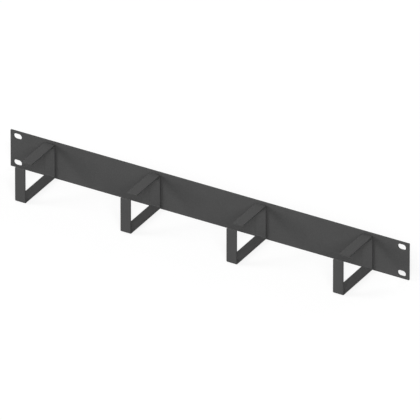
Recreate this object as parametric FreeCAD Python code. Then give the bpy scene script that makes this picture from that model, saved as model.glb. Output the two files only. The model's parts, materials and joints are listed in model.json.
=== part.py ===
import FreeCAD, Part
import math
import os

from FreeCAD import Vector

# Horizontal cable manager for a 19-inch rack, in millimetres: a flat panel with a row of
# open cable rings, each bent from one strip and spot-welded to the panel.
# The origin is the centre of the panel's rear face, which the rack's rails meet.
# +X runs along the panel, the rings stand out towards -Y, and +Z is up.

# Panel
panel_length = 482.6
panel_height = 43.66          # one rack unit less its working gap
panel_thickness = 2.0
panel_edge_break = 0.25       # narrow chamfer on every edge, at the rims of the slots as well

# Rack slots, one near each corner of the panel
slot_length = 10.0
slot_width = 6.8
slot_end_distance = 8.75      # from the panel's end to the slot's centre
slot_edge_distance = 5.955    # from the panel's long edge to the slot's centre

# Cable rings
ring_count = 4
ring_end_distance = 49.0      # from the panel's end to the middle of the outermost ring
ring_bottom_step = 0.86       # from the panel's lower edge up to the ring's underside
ring_top_step = 1.8           # from the ring's top up to the panel's upper edge
ring_depth = 64.0             # from the panel's front face to the ring's front
mouth_width = 12.0            # between the top arm's end and the front bar

# The strip that a ring is bent from
strip_width = 12.0
strip_thickness = 2.0
bend_radius = 0.5             # on the inside of each bend
strip_edge_break = 0.3        # narrow chamfer on every edge

# Spot welds that hold each ring, seen as shallow round dents in the panel's rear
weld_diameter = 5.0
weld_dent = 0.15
weld_end_distance = 10.0      # from the ring's underside or top to the weld's centre

# Places that follow from the sizes above
panel_bottom = -panel_height / 2
panel_front = -panel_thickness
ring_bottom = panel_bottom + ring_bottom_step
ring_top = panel_height / 2 - ring_top_step
ring_front = panel_front - ring_depth
arm_end = ring_front + strip_thickness + mouth_width


def mirrored_pairs(x, z):
    """The four places that lie x and z to either side of the panel's centre."""
    return [Vector(sx * x, 0, sz * z) for sx in (-1, 1) for sz in (-1, 1)]


def ring_centres():
    """X of the middle of each ring, evenly spaced from one end ring to the other."""
    span = panel_length - 2 * ring_end_distance
    pitch = span / (ring_count - 1)
    return [pitch * index - span / 2 for index in range(ring_count)]


def bend_arc(before, corner, after, radius):
    """The arc of a bend at corner, tangent to the lines that come from before and go to after."""
    to_before = (before - corner).normalize()
    to_after = (after - corner).normalize()
    half_angle = to_before.getAngle(to_after) / 2
    setback = radius / math.tan(half_angle)
    to_middle = radius / math.sin(half_angle) - radius
    middle = corner + (to_before + to_after).normalize() * to_middle
    return Part.Arc(corner + to_before * setback, middle, corner + to_after * setback)


def bent_line(points, radius):
    """The open line through the points, with a bend of that radius at each one between its ends."""
    edges = []
    start = points[0]
    for before, corner, after in zip(points, points[1:], points[2:]):
        bend = bend_arc(before, corner, after, radius)
        edges += [Part.LineSegment(start, bend.StartPoint), bend]
        start = bend.EndPoint
    edges.append(Part.LineSegment(start, points[-1]))
    return Part.Wire([edge.toShape() for edge in edges])


def is_sharp(solid, edge):
    """Whether the two faces that share the edge meet at an angle."""
    point = edge.valueAt((edge.FirstParameter + edge.LastParameter) / 2)
    normals = []
    for face in solid.ancestorsOfType(edge, Part.Face):
        u, v = face.Surface.parameter(point)
        normals.append(face.normalAt(u, v))
    return len(normals) == 2 and normals[0].getAngle(normals[1]) > math.radians(1)


def deburred(solid, width):
    """The solid with every sharp edge broken by a narrow chamfer."""
    return solid.makeChamfer(width, [edge for edge in solid.Edges if is_sharp(solid, edge)])


def rack_slot(centre):
    """The cutter of one slot, long in X with round ends, from the rear face right through."""
    radius = slot_width / 2
    to_end = Vector(slot_length / 2 - radius, 0, 0)
    up = Vector(0, 0, radius)
    left = centre - to_end
    right = centre + to_end
    edges = [
        Part.LineSegment(left + up, right + up),
        Part.Arc(right + up, right + Vector(radius, 0, 0), right - up),
        Part.LineSegment(right - up, left - up),
        Part.Arc(left - up, left - Vector(radius, 0, 0), left + up),
    ]
    outline = Part.Wire([edge.toShape() for edge in edges])
    return Part.Face(outline).extrude(Vector(0, -panel_thickness, 0))


def weld_dent_cutter(centre):
    """The ball whose cap is the shallow dent of one spot weld in the panel's rear face."""
    ball_radius = (weld_diameter ** 2 / 4 + weld_dent ** 2) / (2 * weld_dent)
    return Part.makeSphere(ball_radius, centre + Vector(0, ball_radius - weld_dent, 0))


def make_panel():
    """The flat plate: rack slots in its corners and the dents of the ring welds in its rear."""
    corner = Vector(-panel_length / 2, panel_front, panel_bottom)
    plate = Part.makeBox(panel_length, panel_thickness, panel_height, corner)
    slot_x = panel_length / 2 - slot_end_distance
    slot_z = panel_height / 2 - slot_edge_distance
    slots = [rack_slot(centre) for centre in mirrored_pairs(slot_x, slot_z)]
    plate = deburred(plate.cut(slots), panel_edge_break)
    weld_levels = (ring_bottom + weld_end_distance, ring_top - weld_end_distance)
    dents = [weld_dent_cutter(Vector(x, 0, z)) for x in ring_centres() for z in weld_levels]
    return plate.cut(dents)


def make_ring(centre_x):
    """One open ring: its back on the panel, its underside, front bar and shorter top arm."""
    side = centre_x - strip_width / 2
    outer_line = bent_line(
        [
            Vector(side, arm_end, ring_top),
            Vector(side, panel_front, ring_top),
            Vector(side, panel_front, ring_bottom),
            Vector(side, ring_front, ring_bottom),
            Vector(side, ring_front, ring_top),
        ],
        bend_radius + strip_thickness,
    )
    section = outer_line.makeOffset2D(strip_thickness, fill=True, openResult=True)
    return deburred(section.extrude(Vector(strip_width, 0, 0)), strip_edge_break)


def main():
    nodes = {"panel": make_panel()}
    for index, centre_x in enumerate(ring_centres()):
        nodes[f"cable_ring_{index + 1}"] = make_ring(centre_x)
    os.makedirs("parts", exist_ok=True)
    for name, shape in nodes.items():
        solid = shape.Solids[0]
        print(name, "valid", solid.isValid(), "solids", len(shape.Solids), "volume", round(solid.Volume, 1))
        solid.exportStep(f"parts/{name}.step")


main()
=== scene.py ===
import json
import math
import bpy
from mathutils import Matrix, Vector


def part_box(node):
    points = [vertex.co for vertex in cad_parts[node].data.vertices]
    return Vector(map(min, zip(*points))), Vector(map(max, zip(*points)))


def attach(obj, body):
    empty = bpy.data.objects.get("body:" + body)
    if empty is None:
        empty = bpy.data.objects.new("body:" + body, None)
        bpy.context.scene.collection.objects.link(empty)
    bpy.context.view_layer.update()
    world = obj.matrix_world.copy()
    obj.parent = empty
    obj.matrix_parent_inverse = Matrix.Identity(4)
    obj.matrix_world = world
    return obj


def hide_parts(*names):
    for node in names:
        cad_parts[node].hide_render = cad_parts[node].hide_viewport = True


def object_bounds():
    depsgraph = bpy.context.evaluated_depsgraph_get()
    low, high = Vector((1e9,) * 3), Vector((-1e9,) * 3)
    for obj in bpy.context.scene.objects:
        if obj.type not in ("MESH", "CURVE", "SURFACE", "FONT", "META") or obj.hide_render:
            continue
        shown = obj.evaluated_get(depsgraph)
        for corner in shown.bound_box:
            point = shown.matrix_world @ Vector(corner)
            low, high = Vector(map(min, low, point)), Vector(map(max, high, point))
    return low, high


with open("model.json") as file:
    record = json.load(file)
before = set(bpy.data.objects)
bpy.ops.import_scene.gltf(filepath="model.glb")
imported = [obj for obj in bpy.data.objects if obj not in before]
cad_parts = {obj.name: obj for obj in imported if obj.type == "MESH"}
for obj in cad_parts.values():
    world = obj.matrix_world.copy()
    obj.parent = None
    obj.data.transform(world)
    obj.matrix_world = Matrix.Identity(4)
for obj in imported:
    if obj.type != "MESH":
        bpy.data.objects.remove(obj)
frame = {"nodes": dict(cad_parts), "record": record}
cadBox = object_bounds()
print("frame loaded")

millimetre = 0.001                  # the scene is in metres, and the record's mounts are in millimetres
white = (1.0, 1.0, 1.0, 1.0)
upright = (math.radians(90), 0.0, 0.0)      # stands what lies flat in X and Y up into X and Z


def addNode(tree, kind, inputs=None, **settings):
    # a new node with its options set and each input linked to a socket or given a value
    node = tree.nodes.new(kind)
    for name, value in settings.items():
        setattr(node, name, value)
    for name, value in (inputs or {}).items():
        if isinstance(value, bpy.types.NodeSocket):
            tree.links.new(value, node.inputs[name])
        else:
            node.inputs[name].default_value = value
    return node


def addMath(tree, operation, first, second=0.0):
    return addNode(tree, "ShaderNodeMath", {0: first, 1: second}, operation=operation).outputs[0]


def addVector(tree, x=0.0, y=0.0, z=0.0):
    return addNode(tree, "ShaderNodeCombineXYZ", {"X": x, "Y": y, "Z": z}).outputs[0]


def lookingFrom(azimuth, elevation):
    # unit vector from the object: degrees round from the front to the right, and up from level
    turn, rise = math.radians(azimuth), math.radians(elevation)
    return Vector((math.sin(turn) * math.cos(rise), -math.cos(turn) * math.cos(rise), math.sin(rise)))


# camera: a very long lens, so that parallel edges stay parallel
cameraSettings = {
    "azimuth": 29.95,               # degrees round from the front, to the right
    "elevation": 29.99,
    "aim": (0.01274, -0.02141, 0.00697),
    "frameWidth": 0.4403,           # metres across the picture at the aim
    "lens": 1700,
    "sensor": 36,
    "nearClip": 0.5,                # as shares of the camera's distance
    "farClip": 2.0,
}


def makeCamera(s):
    back = lookingFrom(s["azimuth"], s["elevation"])
    distance = s["frameWidth"] * s["lens"] / s["sensor"]
    data = bpy.data.cameras.new("camera")
    data.lens = s["lens"]
    data.sensor_width = s["sensor"]
    data.clip_start = distance * s["nearClip"]
    data.clip_end = distance * s["farClip"]
    camera = bpy.data.objects.new("camera", data)
    camera.location = Vector(s["aim"]) + back * distance
    camera.rotation_euler = back.to_track_quat("Z", "Y").to_euler()
    bpy.context.collection.objects.link(camera)
    bpy.context.scene.camera = camera


makeCamera(cameraSettings)
print("camera placed")


# powder coat: one dark grey with random patches of tone, a slight orange peel, and a fine grain whose
# pits are painted darker and whose tops are painted lighter (painted shade)
coatSettings = {
    "colour": (0.07, 0.07, 0.07),
    "noiseRange": (0.3, 0.7),       # nearly all of a noise lies between these
    "patchSize": 0.035,             # metres across a patch of slightly other shade
    "patchDetail": 3.0,
    "patchSpread": 0.04,            # lightest and darkest, as a share of the colour
    "grainSize": 0.0006,
    "grainDetail": 2.0,
    "grainPaintedShadeSpread": 0.12,            # painted shade: the grain's pits are painted darker and its tops lighter
    "grainDepth": 0.00006,
    "peelSize": 0.0024,             # metres from one swell of the orange peel to the next
    "peelDetail": 2.0,
    "peelDepth": 0.00008,
    "roughness": 0.56,
    "roughnessSpread": 0.05,        # up and down from the roughness, patch by patch
    "specular": 0.05,
}


def makeCoat(s):
    material = bpy.data.materials.new("powderCoat")
    material.use_nodes = True
    tree = material.node_tree
    shader = tree.nodes["Principled BSDF"]
    place = addNode(tree, "ShaderNodeTexCoord").outputs["Object"]

    def addNoise(size, detail):
        inputs = {"Vector": place, "Scale": 1 / size, "Detail": detail}
        return addNode(tree, "ShaderNodeTexNoise", inputs).outputs["Fac"]

    def addSpread(noise, middle, spread):
        inputs = {"Value": noise, "To Min": middle - spread, "To Max": middle + spread}
        inputs["From Min"], inputs["From Max"] = s["noiseRange"]
        return addNode(tree, "ShaderNodeMapRange", inputs).outputs["Result"]

    def addBump(height, depth, normal=None):
        inputs = {"Height": height, "Strength": 1.0, "Distance": depth}
        if normal:
            inputs["Normal"] = normal
        return addNode(tree, "ShaderNodeBump", inputs).outputs["Normal"]

    patches = addNoise(s["patchSize"], s["patchDetail"])
    grain = addNoise(s["grainSize"], s["grainDetail"])
    patchShade = addSpread(patches, 1.0, s["patchSpread"])
    # painted shade: the colour follows the grain's height, darker in its pits and lighter on its tops, as
    # light would fall on them
    grainPaintedShade = addSpread(grain, 1.0, s["grainPaintedShadeSpread"])
    # the colour's tone: random patches times the grain's painted shade
    shade = addMath(tree, "MULTIPLY", patchShade, grainPaintedShade)
    tinted = {0: s["colour"], "Scale": shade}
    tint = addNode(tree, "ShaderNodeVectorMath", tinted, operation="SCALE").outputs["Vector"]
    rough = addSpread(patches, s["roughness"], s["roughnessSpread"])
    peel = addBump(addNoise(s["peelSize"], s["peelDetail"]), s["peelDepth"])
    tree.links.new(tint, shader.inputs["Base Color"])
    tree.links.new(rough, shader.inputs["Roughness"])
    tree.links.new(addBump(grain, s["grainDepth"], peel), shader.inputs["Normal"])
    shader.inputs["Specular IOR Level"].default_value = s["specular"]
    return material


coat = makeCoat(coatSettings)
print("powder coat mixed")


# growing a piece: a geometry tree with named inputs, then rounded edges and even normals
socketKinds = {
    int: "NodeSocketInt",
    float: "NodeSocketFloat",
    bpy.types.Material: "NodeSocketMaterial",
}


def startTree(name, values):
    # a tree with one input for each value, which is that input's default
    tree = bpy.data.node_groups.new(name, "GeometryNodeTree")
    for way in ("OUTPUT", "INPUT"):
        tree.interface.new_socket("Geometry", in_out=way, socket_type="NodeSocketGeometry")
    for label, value in values.items():
        kind = socketKinds[type(value)]
        tree.interface.new_socket(label, in_out="INPUT", socket_type=kind).default_value = value
    return tree, tree.nodes.new("NodeGroupInput").outputs


def endTree(tree, geometry, given):
    smooth = addNode(tree, "GeometryNodeSetShadeSmooth", {"Geometry": geometry}).outputs[0]
    plain = addNode(tree, "GeometryNodeRealizeInstances", {"Geometry": smooth}).outputs[0]
    painted = addNode(tree, "GeometryNodeSetMaterial", {"Geometry": plain, "Material": given["Coat"]})
    addNode(tree, "NodeGroupOutput", {"Geometry": painted.outputs[0]})


def addJoin(tree, parts):
    join = addNode(tree, "GeometryNodeJoinGeometry")
    for part in parts:
        tree.links.new(part, join.inputs[0])
    return join.outputs[0]


def treeStep(tree, values):
    def addTo(piece):
        modifier = piece.modifiers.new(tree.name, "NODES")
        modifier.node_group = tree
        for item in tree.interface.items_tree:
            if item.in_out == "INPUT" and item.name in values:
                modifier[item.identifier] = values[item.name]
    return addTo


def bevelStep(radius, facets, sharpAngle=40):
    # edges that turn by fewer degrees than the sharp angle are left as they are
    def addTo(piece):
        modifier = piece.modifiers.new("softEdges", "BEVEL")
        modifier.width = radius
        modifier.segments = facets
        modifier.limit_method = "ANGLE"
        modifier.angle_limit = math.radians(sharpAngle)
    return addTo


def evenNormalsStep(piece):
    modifier = piece.modifiers.new("evenNormals", "WEIGHTED_NORMAL")
    modifier.keep_sharp = True


def growPiece(name, steps):
    piece = bpy.data.objects.new(name, bpy.data.meshes.new(name))
    bpy.context.collection.objects.link(piece)
    for step in steps:
        step(piece)
    evaluated = piece.evaluated_get(bpy.context.evaluated_depsgraph_get())
    mesh = bpy.data.meshes.new_from_object(evaluated)
    piece.modifiers.clear()
    for number in reversed(range(len(mesh.materials))):
        if mesh.materials[number] is None:      # a step can leave an empty slot
            mesh.materials.pop(index=number)
    piece.data = mesh
    mesh.name = name
    return piece


# cable ring: one strip bent three times round an open C
ringSettings = {
    "stripThickness": 0.002,
    "mouthWidth": 0.012,            # between the top arm's end and the front bar
    "bendRadius": 0.0005,           # inside of the bend
    "bendFacets": 10,
    "bendBulge": 0.00012,           # a bend's squeezed inside grows wider, its stretched outside narrower
    "edgeRadius": 0.0003,
    "edgeFacets": 3,
}
ringNodes = sorted(name for name in frame["nodes"] if name.startswith("cable_ring"))


def ringValues(node, s):
    low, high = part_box(node)
    return {
        "Centre X": (low.x + high.x) / 2,
        "Back Y": high.y,
        "Front Y": low.y,
        "Bottom Z": low.z,
        "Top Z": high.z,
        "Strip Width": high.x - low.x,
        "Strip Thickness": s["stripThickness"],
        "Mouth Width": s["mouthWidth"],
        "Bend Radius": s["bendRadius"],
        "Bend Bulge": s["bendBulge"],
        "Bend Facets": s["bendFacets"],
        "Coat": coat,
    }


def addRingLine(tree, given):
    # the strip's middle line, from the end of the top arm round to the top of the front bar
    half = addMath(tree, "DIVIDE", given["Strip Thickness"], 2.0)
    backY = addMath(tree, "SUBTRACT", given["Back Y"], half)
    frontY = addMath(tree, "ADD", given["Front Y"], half)
    bottomZ = addMath(tree, "ADD", given["Bottom Z"], half)
    topZ = addMath(tree, "SUBTRACT", given["Top Z"], half)
    barInside = addMath(tree, "ADD", given["Front Y"], given["Strip Thickness"])
    armEnd = addMath(tree, "ADD", barInside, given["Mouth Width"])
    corners = [
        (armEnd, topZ),
        (backY, topZ),
        (backY, bottomZ),
        (frontY, bottomZ),
        (frontY, given["Top Z"]),
    ]
    pick = addNode(tree, "GeometryNodeIndexSwitch", data_type="VECTOR")
    while len(pick.index_switch_items) < len(corners):
        pick.index_switch_items.new()
    tree.links.new(addNode(tree, "GeometryNodeInputIndex").outputs[0], pick.inputs["Index"])
    for number, (y, z) in enumerate(corners):
        tree.links.new(addVector(tree, given["Centre X"], y, z), pick.inputs[str(number)])
    line = addNode(tree, "GeometryNodeCurvePrimitiveLine").outputs[0]
    points = {"Curve": line, "Count": len(corners)}
    line = addNode(tree, "GeometryNodeResampleCurve", points).outputs[0]
    placed = {"Geometry": line, "Position": pick.outputs[0]}
    line = addNode(tree, "GeometryNodeSetPosition", placed).outputs[0]
    radius = addMath(tree, "ADD", given["Bend Radius"], half)
    bends = {"Curve": line, "Radius": radius, "Count": given["Bend Facets"]}
    line = addNode(tree, "GeometryNodeFilletCurve", bends, mode="POLY").outputs[0]
    facing = {"Curve": line, "Normal": (1.0, 0.0, 0.0)}
    return addNode(tree, "GeometryNodeSetCurveNormal", facing, mode="FREE").outputs[0]


def addBendStrain(tree, given):
    # how far round its bend a point of the line is: 0 at both ends of the bend, 1 in its middle
    index = addNode(tree, "GeometryNodeInputIndex").outputs[0]
    perBend = addMath(tree, "ADD", given["Bend Facets"], 1.0)
    along = addMath(tree, "FLOORED_MODULO", addMath(tree, "SUBTRACT", index, 1.0), perBend)
    swing = addMath(tree, "MULTIPLY", addMath(tree, "DIVIDE", along, given["Bend Facets"]), math.pi)
    return addMath(tree, "POWER", addMath(tree, "SINE", swing), 2.0)


def addKept(tree, kind, name, geometry, value):
    # the geometry with the value kept on its points, and the kept value
    kept = addNode(tree, "GeometryNodeCaptureAttribute", {"Geometry": geometry})
    kept.capture_items.new(kind, name)
    tree.links.new(value, kept.inputs[name])
    return kept.outputs["Geometry"], kept.outputs[name]


def makeRingTree(values):
    tree, given = startTree("bentStrip", values)
    line = addRingLine(tree, given)
    line, strain = addKept(tree, "FLOAT", "strain", line, addBendStrain(tree, given))
    section = {"Width": given["Strip Width"], "Height": given["Strip Thickness"]}
    section = addNode(tree, "GeometryNodeCurvePrimitiveQuadrilateral", section).outputs[0]
    place = addNode(tree, "GeometryNodeInputPosition").outputs[0]
    section, across = addKept(tree, "VECTOR", "across", section, place)
    swept = {"Curve": line, "Profile Curve": section, "Fill Caps": True}
    strip = addNode(tree, "GeometryNodeCurveToMesh", swept).outputs[0]
    split = addNode(tree, "ShaderNodeSeparateXYZ", {0: across})
    side = addMath(tree, "SIGN", split.outputs["X"])
    inside = addMath(tree, "SIGN", split.outputs["Y"])
    bulge = addMath(tree, "MULTIPLY", strain, given["Bend Bulge"])
    shift = addMath(tree, "MULTIPLY", addMath(tree, "MULTIPLY", side, inside), bulge)
    moved = {"Geometry": strip, "Offset": addVector(tree, shift)}
    endTree(tree, addNode(tree, "GeometryNodeSetPosition", moved).outputs[0], given)
    return tree


def makeRings(s):
    tree = makeRingTree(ringValues(ringNodes[0], s))
    soften = bevelStep(s["edgeRadius"], s["edgeFacets"])
    for node in ringNodes:
        steps = [treeStep(tree, ringValues(node, s)), soften, evenNormalsStep]
        ring = growPiece("bentRing" + node[-1], steps)
        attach(ring, "root")
        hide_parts(node)
        print(ring.name, "bent,", len(ring.data.polygons), "faces")


makeRings(ringSettings)


# rack panel: a flat plate with a slot near each corner and the dents of the spot welds in its rear
panelSettings = {
    "slotFacets": 16,               # round each quarter of a slot's ends
    "slotRounding": 0.499,          # of the slot's width: just under half keeps a short straight
    "mergeDistance": 0.000001,      # between the edges of the rear face and of its walls
    "edgeRadius": 0.00025,
    "edgeFacets": 3,
    "weldWidth": 0.005,
    "weldDepth": 0.00015,
    "weldStep": 0.010,              # from a ring's underside or top to the weld's centre
    "weldSegments": 32,
    "weldRings": 11,                # odd, so that none of its points lies in the plate's rear face
}


def plateValues(s):
    low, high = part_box("panel")
    slots = next(mount["dims"] for mount in frame["record"]["mounts"] if mount["name"] == "rack_slots")
    slotWidth = 2 * slots["hole_r_mm"] * millimetre
    return {
        "Length": high.x - low.x,
        "Height": high.z - low.z,
        "Thickness": high.y - low.y,
        "Slot Length": slots["slot_length_mm"] * millimetre,
        "Slot Width": slotWidth,
        "Slot Radius": slotWidth * s["slotRounding"],
        "Slot Spacing X": slots["spacing_x_mm"] * millimetre,
        "Slot Spacing Z": slots["spacing_y_mm"] * millimetre,
        "Slot Facets": s["slotFacets"],
        "Merge Distance": s["mergeDistance"],
        "Coat": coat,
    }


def weldValues(s):
    boxes = [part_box(node) for node in ringNodes]
    centres = [(low.x + high.x) / 2 for low, high in boxes]
    low, high = boxes[0]
    return {
        "First X": centres[0],
        "Spacing X": centres[1] - centres[0],
        "Low Z": low.z + s["weldStep"],
        "High Z": high.z - s["weldStep"],
        "Count": len(centres),
        "Weld Width": s["weldWidth"],
        "Weld Depth": s["weldDepth"],
        "Weld Segments": s["weldSegments"],
        "Weld Rings": s["weldRings"],
        "Coat": coat,
    }


def makePlateTree(values):
    tree, given = startTree("slottedPlate", values)

    def addRectangle(width, height):
        inputs = {"Width": width, "Height": height}
        return addNode(tree, "GeometryNodeCurvePrimitiveQuadrilateral", inputs).outputs[0]

    slot = {
        "Curve": addRectangle(given["Slot Length"], given["Slot Width"]),
        "Radius": given["Slot Radius"],
        "Count": given["Slot Facets"],
    }
    slot = addNode(tree, "GeometryNodeFilletCurve", slot, mode="POLY").outputs[0]
    places = {
        "Size X": given["Slot Spacing X"],
        "Size Y": given["Slot Spacing Z"],
        "Vertices X": 2,
        "Vertices Y": 2,
    }
    places = addNode(tree, "GeometryNodeMeshGrid", places).outputs[0]
    slots = {"Points": places, "Instance": slot}
    slots = addNode(tree, "GeometryNodeInstanceOnPoints", slots).outputs[0]
    slots = addNode(tree, "GeometryNodeRealizeInstances", {"Geometry": slots}).outputs[0]
    outlines = addJoin(tree, [addRectangle(given["Length"], given["Height"]), slots])
    rear = addNode(tree, "GeometryNodeFillCurve", {"Curve": outlines}, mode="NGONS").outputs[0]
    raised = {
        "Mesh": rear,
        "Offset": (0.0, 0.0, 1.0),
        "Offset Scale": given["Thickness"],
        "Individual": False,
    }
    raised = addNode(tree, "GeometryNodeExtrudeMesh", raised).outputs[0]
    flipped = addNode(tree, "GeometryNodeFlipFaces", {"Mesh": rear}).outputs[0]
    closed = {"Geometry": addJoin(tree, [raised, flipped]), "Distance": given["Merge Distance"]}
    closed = addNode(tree, "GeometryNodeMergeByDistance", closed).outputs[0]
    plate = {"Geometry": closed, "Rotation": upright}
    endTree(tree, addNode(tree, "GeometryNodeTransform", plate).outputs[0], given)
    return tree


def makeWeldTree(values):
    # cuts a flattened ball out of the plate's rear face at each weld
    tree, given = startTree("weldDents", values)
    ball = {"Segments": given["Weld Segments"], "Rings": given["Weld Rings"], "Radius": 1.0}
    ball = addNode(tree, "GeometryNodeMeshUVSphere", ball).outputs[0]
    half = addMath(tree, "DIVIDE", given["Weld Width"], 2.0)
    scale = addVector(tree, half, half, given["Weld Depth"])
    ball = {"Geometry": ball, "Rotation": upright, "Scale": scale}
    ball = addNode(tree, "GeometryNodeTransform", ball).outputs[0]
    step = addVector(tree, given["Spacing X"])
    rows = []
    for level in (given["Low Z"], given["High Z"]):
        start = addVector(tree, given["First X"], 0.0, level)
        row = {"Count": given["Count"], "Start Location": start, "Offset": step}
        rows.append(addNode(tree, "GeometryNodeMeshLine", row).outputs[0])
    balls = {"Points": addJoin(tree, rows), "Instance": ball}
    balls = addNode(tree, "GeometryNodeInstanceOnPoints", balls).outputs[0]
    balls = addNode(tree, "GeometryNodeRealizeInstances", {"Geometry": balls}).outputs[0]
    balls = {"Geometry": balls, "Material": given["Coat"]}
    balls = addNode(tree, "GeometryNodeSetMaterial", balls).outputs[0]
    cut = {"Mesh 1": given["Geometry"], "Mesh 2": balls}
    cut = addNode(tree, "GeometryNodeMeshBoolean", cut, operation="DIFFERENCE", solver="EXACT")
    endTree(tree, cut.outputs[0], given)
    return tree


def makePanel(s):
    plate = plateValues(s)
    welds = weldValues(s)
    steps = [
        treeStep(makePlateTree(plate), plate),
        bevelStep(s["edgeRadius"], s["edgeFacets"]),
        treeStep(makeWeldTree(welds), welds),
        evenNormalsStep,
    ]
    panel = growPiece("rackPanel", steps)
    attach(panel, "root")
    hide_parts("panel")
    print(panel.name, "cut,", len(panel.data.polygons), "faces")


makePanel(panelSettings)


# floor and light: pale floor, which shows white with a soft shadow
floorSettings = {
    "size": 6.0,
    "shade": 0.3,                   # what it throws back on the object
    "seenShade": 0.25,              # what the camera sees of the light on it
    "seenGlow": 0.79,
}
lightSettings = {
    "ambient": 0.2,
    "seenWorld": 1.0,
    "lamps": [                      # angles in degrees, strengths in watts per square metre
        {"name": "key", "azimuth": 32, "elevation": 33, "strength": 2.25, "spread": 30},
        {"name": "left", "azimuth": -58, "elevation": 22, "strength": 2.05, "spread": 30},
        {"name": "back", "azimuth": 175, "elevation": 8, "strength": 1.7, "spread": 40},
    ],
}


def seenDirectly(tree):
    # 1 for what the camera sees straight, in a shine or through glass, and 0 for light on the object
    path = addNode(tree, "ShaderNodeLightPath").outputs
    either = addMath(tree, "MAXIMUM", path["Is Camera Ray"], path["Is Glossy Ray"])
    return addMath(tree, "MAXIMUM", either, path["Is Transmission Ray"])


def makeFloor(s):
    material = bpy.data.materials.new("paleFloor")
    material.use_nodes = True
    tree = material.node_tree
    shader = tree.nodes["Principled BSDF"]
    seen = seenDirectly(tree)
    shade = {"Value": seen, "To Min": s["shade"], "To Max": s["seenShade"]}
    shade = addNode(tree, "ShaderNodeMapRange", shade).outputs["Result"]
    glow = addMath(tree, "MULTIPLY", seen, s["seenGlow"])
    tree.links.new(shade, shader.inputs["Base Color"])
    tree.links.new(glow, shader.inputs["Emission Strength"])
    shader.inputs["Emission Color"].default_value = white
    shader.inputs["Roughness"].default_value = 1.0
    shader.inputs["Specular IOR Level"].default_value = 0.0
    # clear from below, so that the underside can be looked at through it
    below = addNode(tree, "ShaderNodeNewGeometry").outputs["Backfacing"]
    clear = addNode(tree, "ShaderNodeBsdfTransparent").outputs[0]
    mixed = addNode(tree, "ShaderNodeMixShader", {0: below, 1: shader.outputs[0], 2: clear}).outputs[0]
    tree.links.new(mixed, tree.nodes["Material Output"].inputs["Surface"])
    half = s["size"] / 2
    level = cadBox[0].z
    mesh = bpy.data.meshes.new("floor")
    corners = [(-half, -half, level), (half, -half, level), (half, half, level), (-half, half, level)]
    mesh.from_pydata(corners, [], [(0, 1, 2, 3)])
    mesh.materials.append(material)
    floor = bpy.data.objects.new("floor", mesh)
    bpy.context.collection.objects.link(floor)


def makeLight(s):
    world = bpy.data.worlds.new("studio")
    world.use_nodes = True
    tree = world.node_tree
    strength = {"Value": seenDirectly(tree), "To Min": s["ambient"], "To Max": s["seenWorld"]}
    strength = addNode(tree, "ShaderNodeMapRange", strength).outputs["Result"]
    background = tree.nodes["Background"]
    background.inputs["Color"].default_value = white
    tree.links.new(strength, background.inputs["Strength"])
    bpy.context.scene.world = world
    for lamp in s["lamps"]:
        data = bpy.data.lights.new(lamp["name"], "SUN")
        data.energy = lamp["strength"]
        data.angle = math.radians(lamp["spread"])
        light = bpy.data.objects.new(lamp["name"], data)
        light.location = lookingFrom(lamp["azimuth"], lamp["elevation"])
        light.rotation_euler = light.location.to_track_quat("Z", "Y").to_euler()
        bpy.context.collection.objects.link(light)


makeFloor(floorSettings)
makeLight(lightSettings)
bpy.context.scene.view_settings.view_transform = "Standard"
print("floor and light set")
